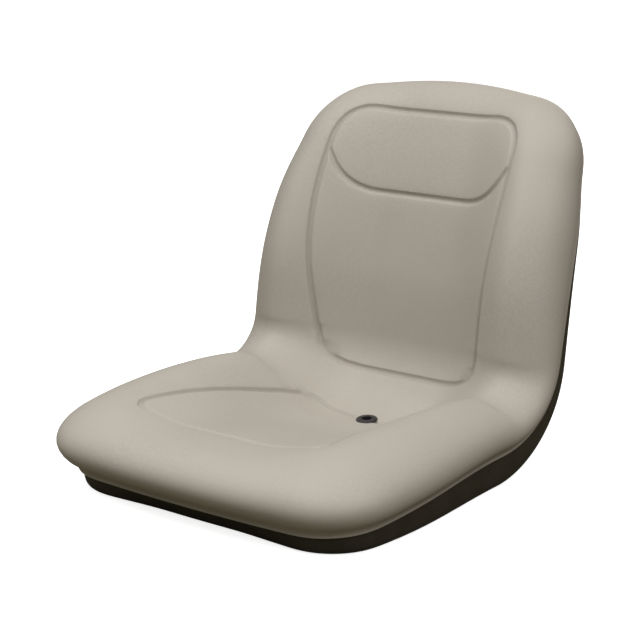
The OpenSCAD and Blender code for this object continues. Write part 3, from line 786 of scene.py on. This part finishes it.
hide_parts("vinyl_cover")
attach(vinyl_cover, "root")

# Drain tube. A flanged plastic tube pushed in from above, which leads rain water from the
# bottom of the dish down through the foam and the pan.

dress(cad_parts["drain_tube"], black_plastic)

# Stage: a floor that runs up into a backdrop, white to the camera with the seat's soft
# shadow. Light comes from a large softbox, a fill, a lamp at the rear and a bright ceiling.

floor_mesh = bpy.data.meshes.new("floor")
profile = [(-6.0, 0.0), (3.0, 0.0)]
profile += [(3.0 + 1.5 * math.sin(a), 1.5 - 1.5 * math.cos(a)) for a in np.linspace(0.1, math.pi / 2, 14)]
profile += [(4.5, 7.0)]
strip = [(x, y, z - 0.0004) for y, z in profile for x in (-7.0, 7.0)]
floor_mesh.from_pydata(strip, [], [(i, i + 1, i + 3, i + 2) for i in range(0, len(strip) - 2, 2)])
floor_mesh.shade_smooth()
floor = bpy.data.objects.new("floor", floor_mesh)
bpy.context.scene.collection.objects.link(floor)
white, wire = new_material("white_floor")
seen = wire.node("ShaderNodeLightPath")
matt = wire.node("ShaderNodeBsdfDiffuse", (), {"Color": (0.8, 0.8, 0.8, 1)})
bounce = wire.node("ShaderNodeBsdfDiffuse", (), {"Color": (0.16, 0.145, 0.1, 1)})
glow = wire.node("ShaderNodeEmission", (), {"Color": (1, 1, 1, 1), "Strength": 0.8})
both = wire.node("ShaderNodeAddShader", (), {0: matt, 1: glow})
shown = wire.node("ShaderNodeMixShader", (), {0: seen, 1: bounce, 2: both})
wire.node("ShaderNodeOutputMaterial", (), {"Surface": shown})
floor_mesh.materials.append(white)


def lamp(name, place_at, look_at, size, power, colour):
    data = bpy.data.lights.new(name, "AREA")
    data.shape, data.size, data.size_y = "RECTANGLE", size[0], size[1]
    data.energy, data.color = power, colour
    lit = bpy.data.objects.new(name, data)
    lit.location = place_at
    lit.rotation_euler = (Vector(look_at) - Vector(place_at)).to_track_quat("-Z", "Y").to_euler()
    bpy.context.scene.collection.objects.link(lit)


lamp("softbox", (-0.6, -0.95, 2.5), (0, 0.05, 0.2), (2.2, 1.6), 37, (1.0, 0.99, 0.975))
lamp("fill", (2.4, -0.7, 1.9), (0, 0.1, 0.2), (1.6, 1.6), 28, (1.0, 0.985, 0.965))
lamp("rear", (-0.9, 2.7, 0.9), (0, 0.2, 0.2), (1.6, 1.2), 16, (1.0, 0.985, 0.965))

world = bpy.data.worlds.new("white_room")
bpy.context.scene.world = world
world.use_nodes = True
world.node_tree.nodes.clear()
wire = Wire(world.node_tree)
seen = wire.node("ShaderNodeLightPath")
ray = wire.node("ShaderNodeTexCoord")
rise = wire.node("ShaderNodeSeparateXYZ", (), {"Vector": ray}, out=2)
walls = rise.clipped(0.1, 0.75).mixed((0.05, 0.048, 0.042, 1), (1.0, 0.99, 0.975, 1))
room = wire.node("ShaderNodeBackground", (), {"Color": walls, "Strength": 0.74})
paper = wire.node("ShaderNodeBackground", (), {"Color": (1, 1, 1, 1), "Strength": 1.0})
shown = wire.node("ShaderNodeMixShader", (), {0: seen, 1: room, 2: paper})
wire.node("ShaderNodeOutputWorld", (), {"Surface": shown})

# Camera, at the photograph's height and angle
TURN, RISE, TILT = math.radians(38.63), math.radians(14.72), math.radians(-0.84)
back = Vector((math.sin(TURN) * math.cos(RISE), -math.cos(TURN) * math.cos(RISE), math.sin(RISE)))
right = Vector((math.cos(TURN), math.sin(TURN), 0))
up = back.cross(right)
right, up = right * math.cos(TILT) + up * math.sin(TILT), up * math.cos(TILT) - right * math.sin(TILT)
lens = bpy.data.cameras.new("camera")
lens.lens, lens.sensor_width = 1803.2 / 640 * 36, 36
camera = bpy.data.objects.new("camera", lens)
camera.matrix_world = Matrix.Translation(Vector((-0.00653, 0.06, 0.18141)) + back * 2.1419) @ Matrix(
    (right, up, back)
).transposed().to_4x4()
bpy.context.scene.collection.objects.link(camera)
bpy.context.scene.camera = camera
bpy.context.scene.view_settings.view_transform = "Standard"
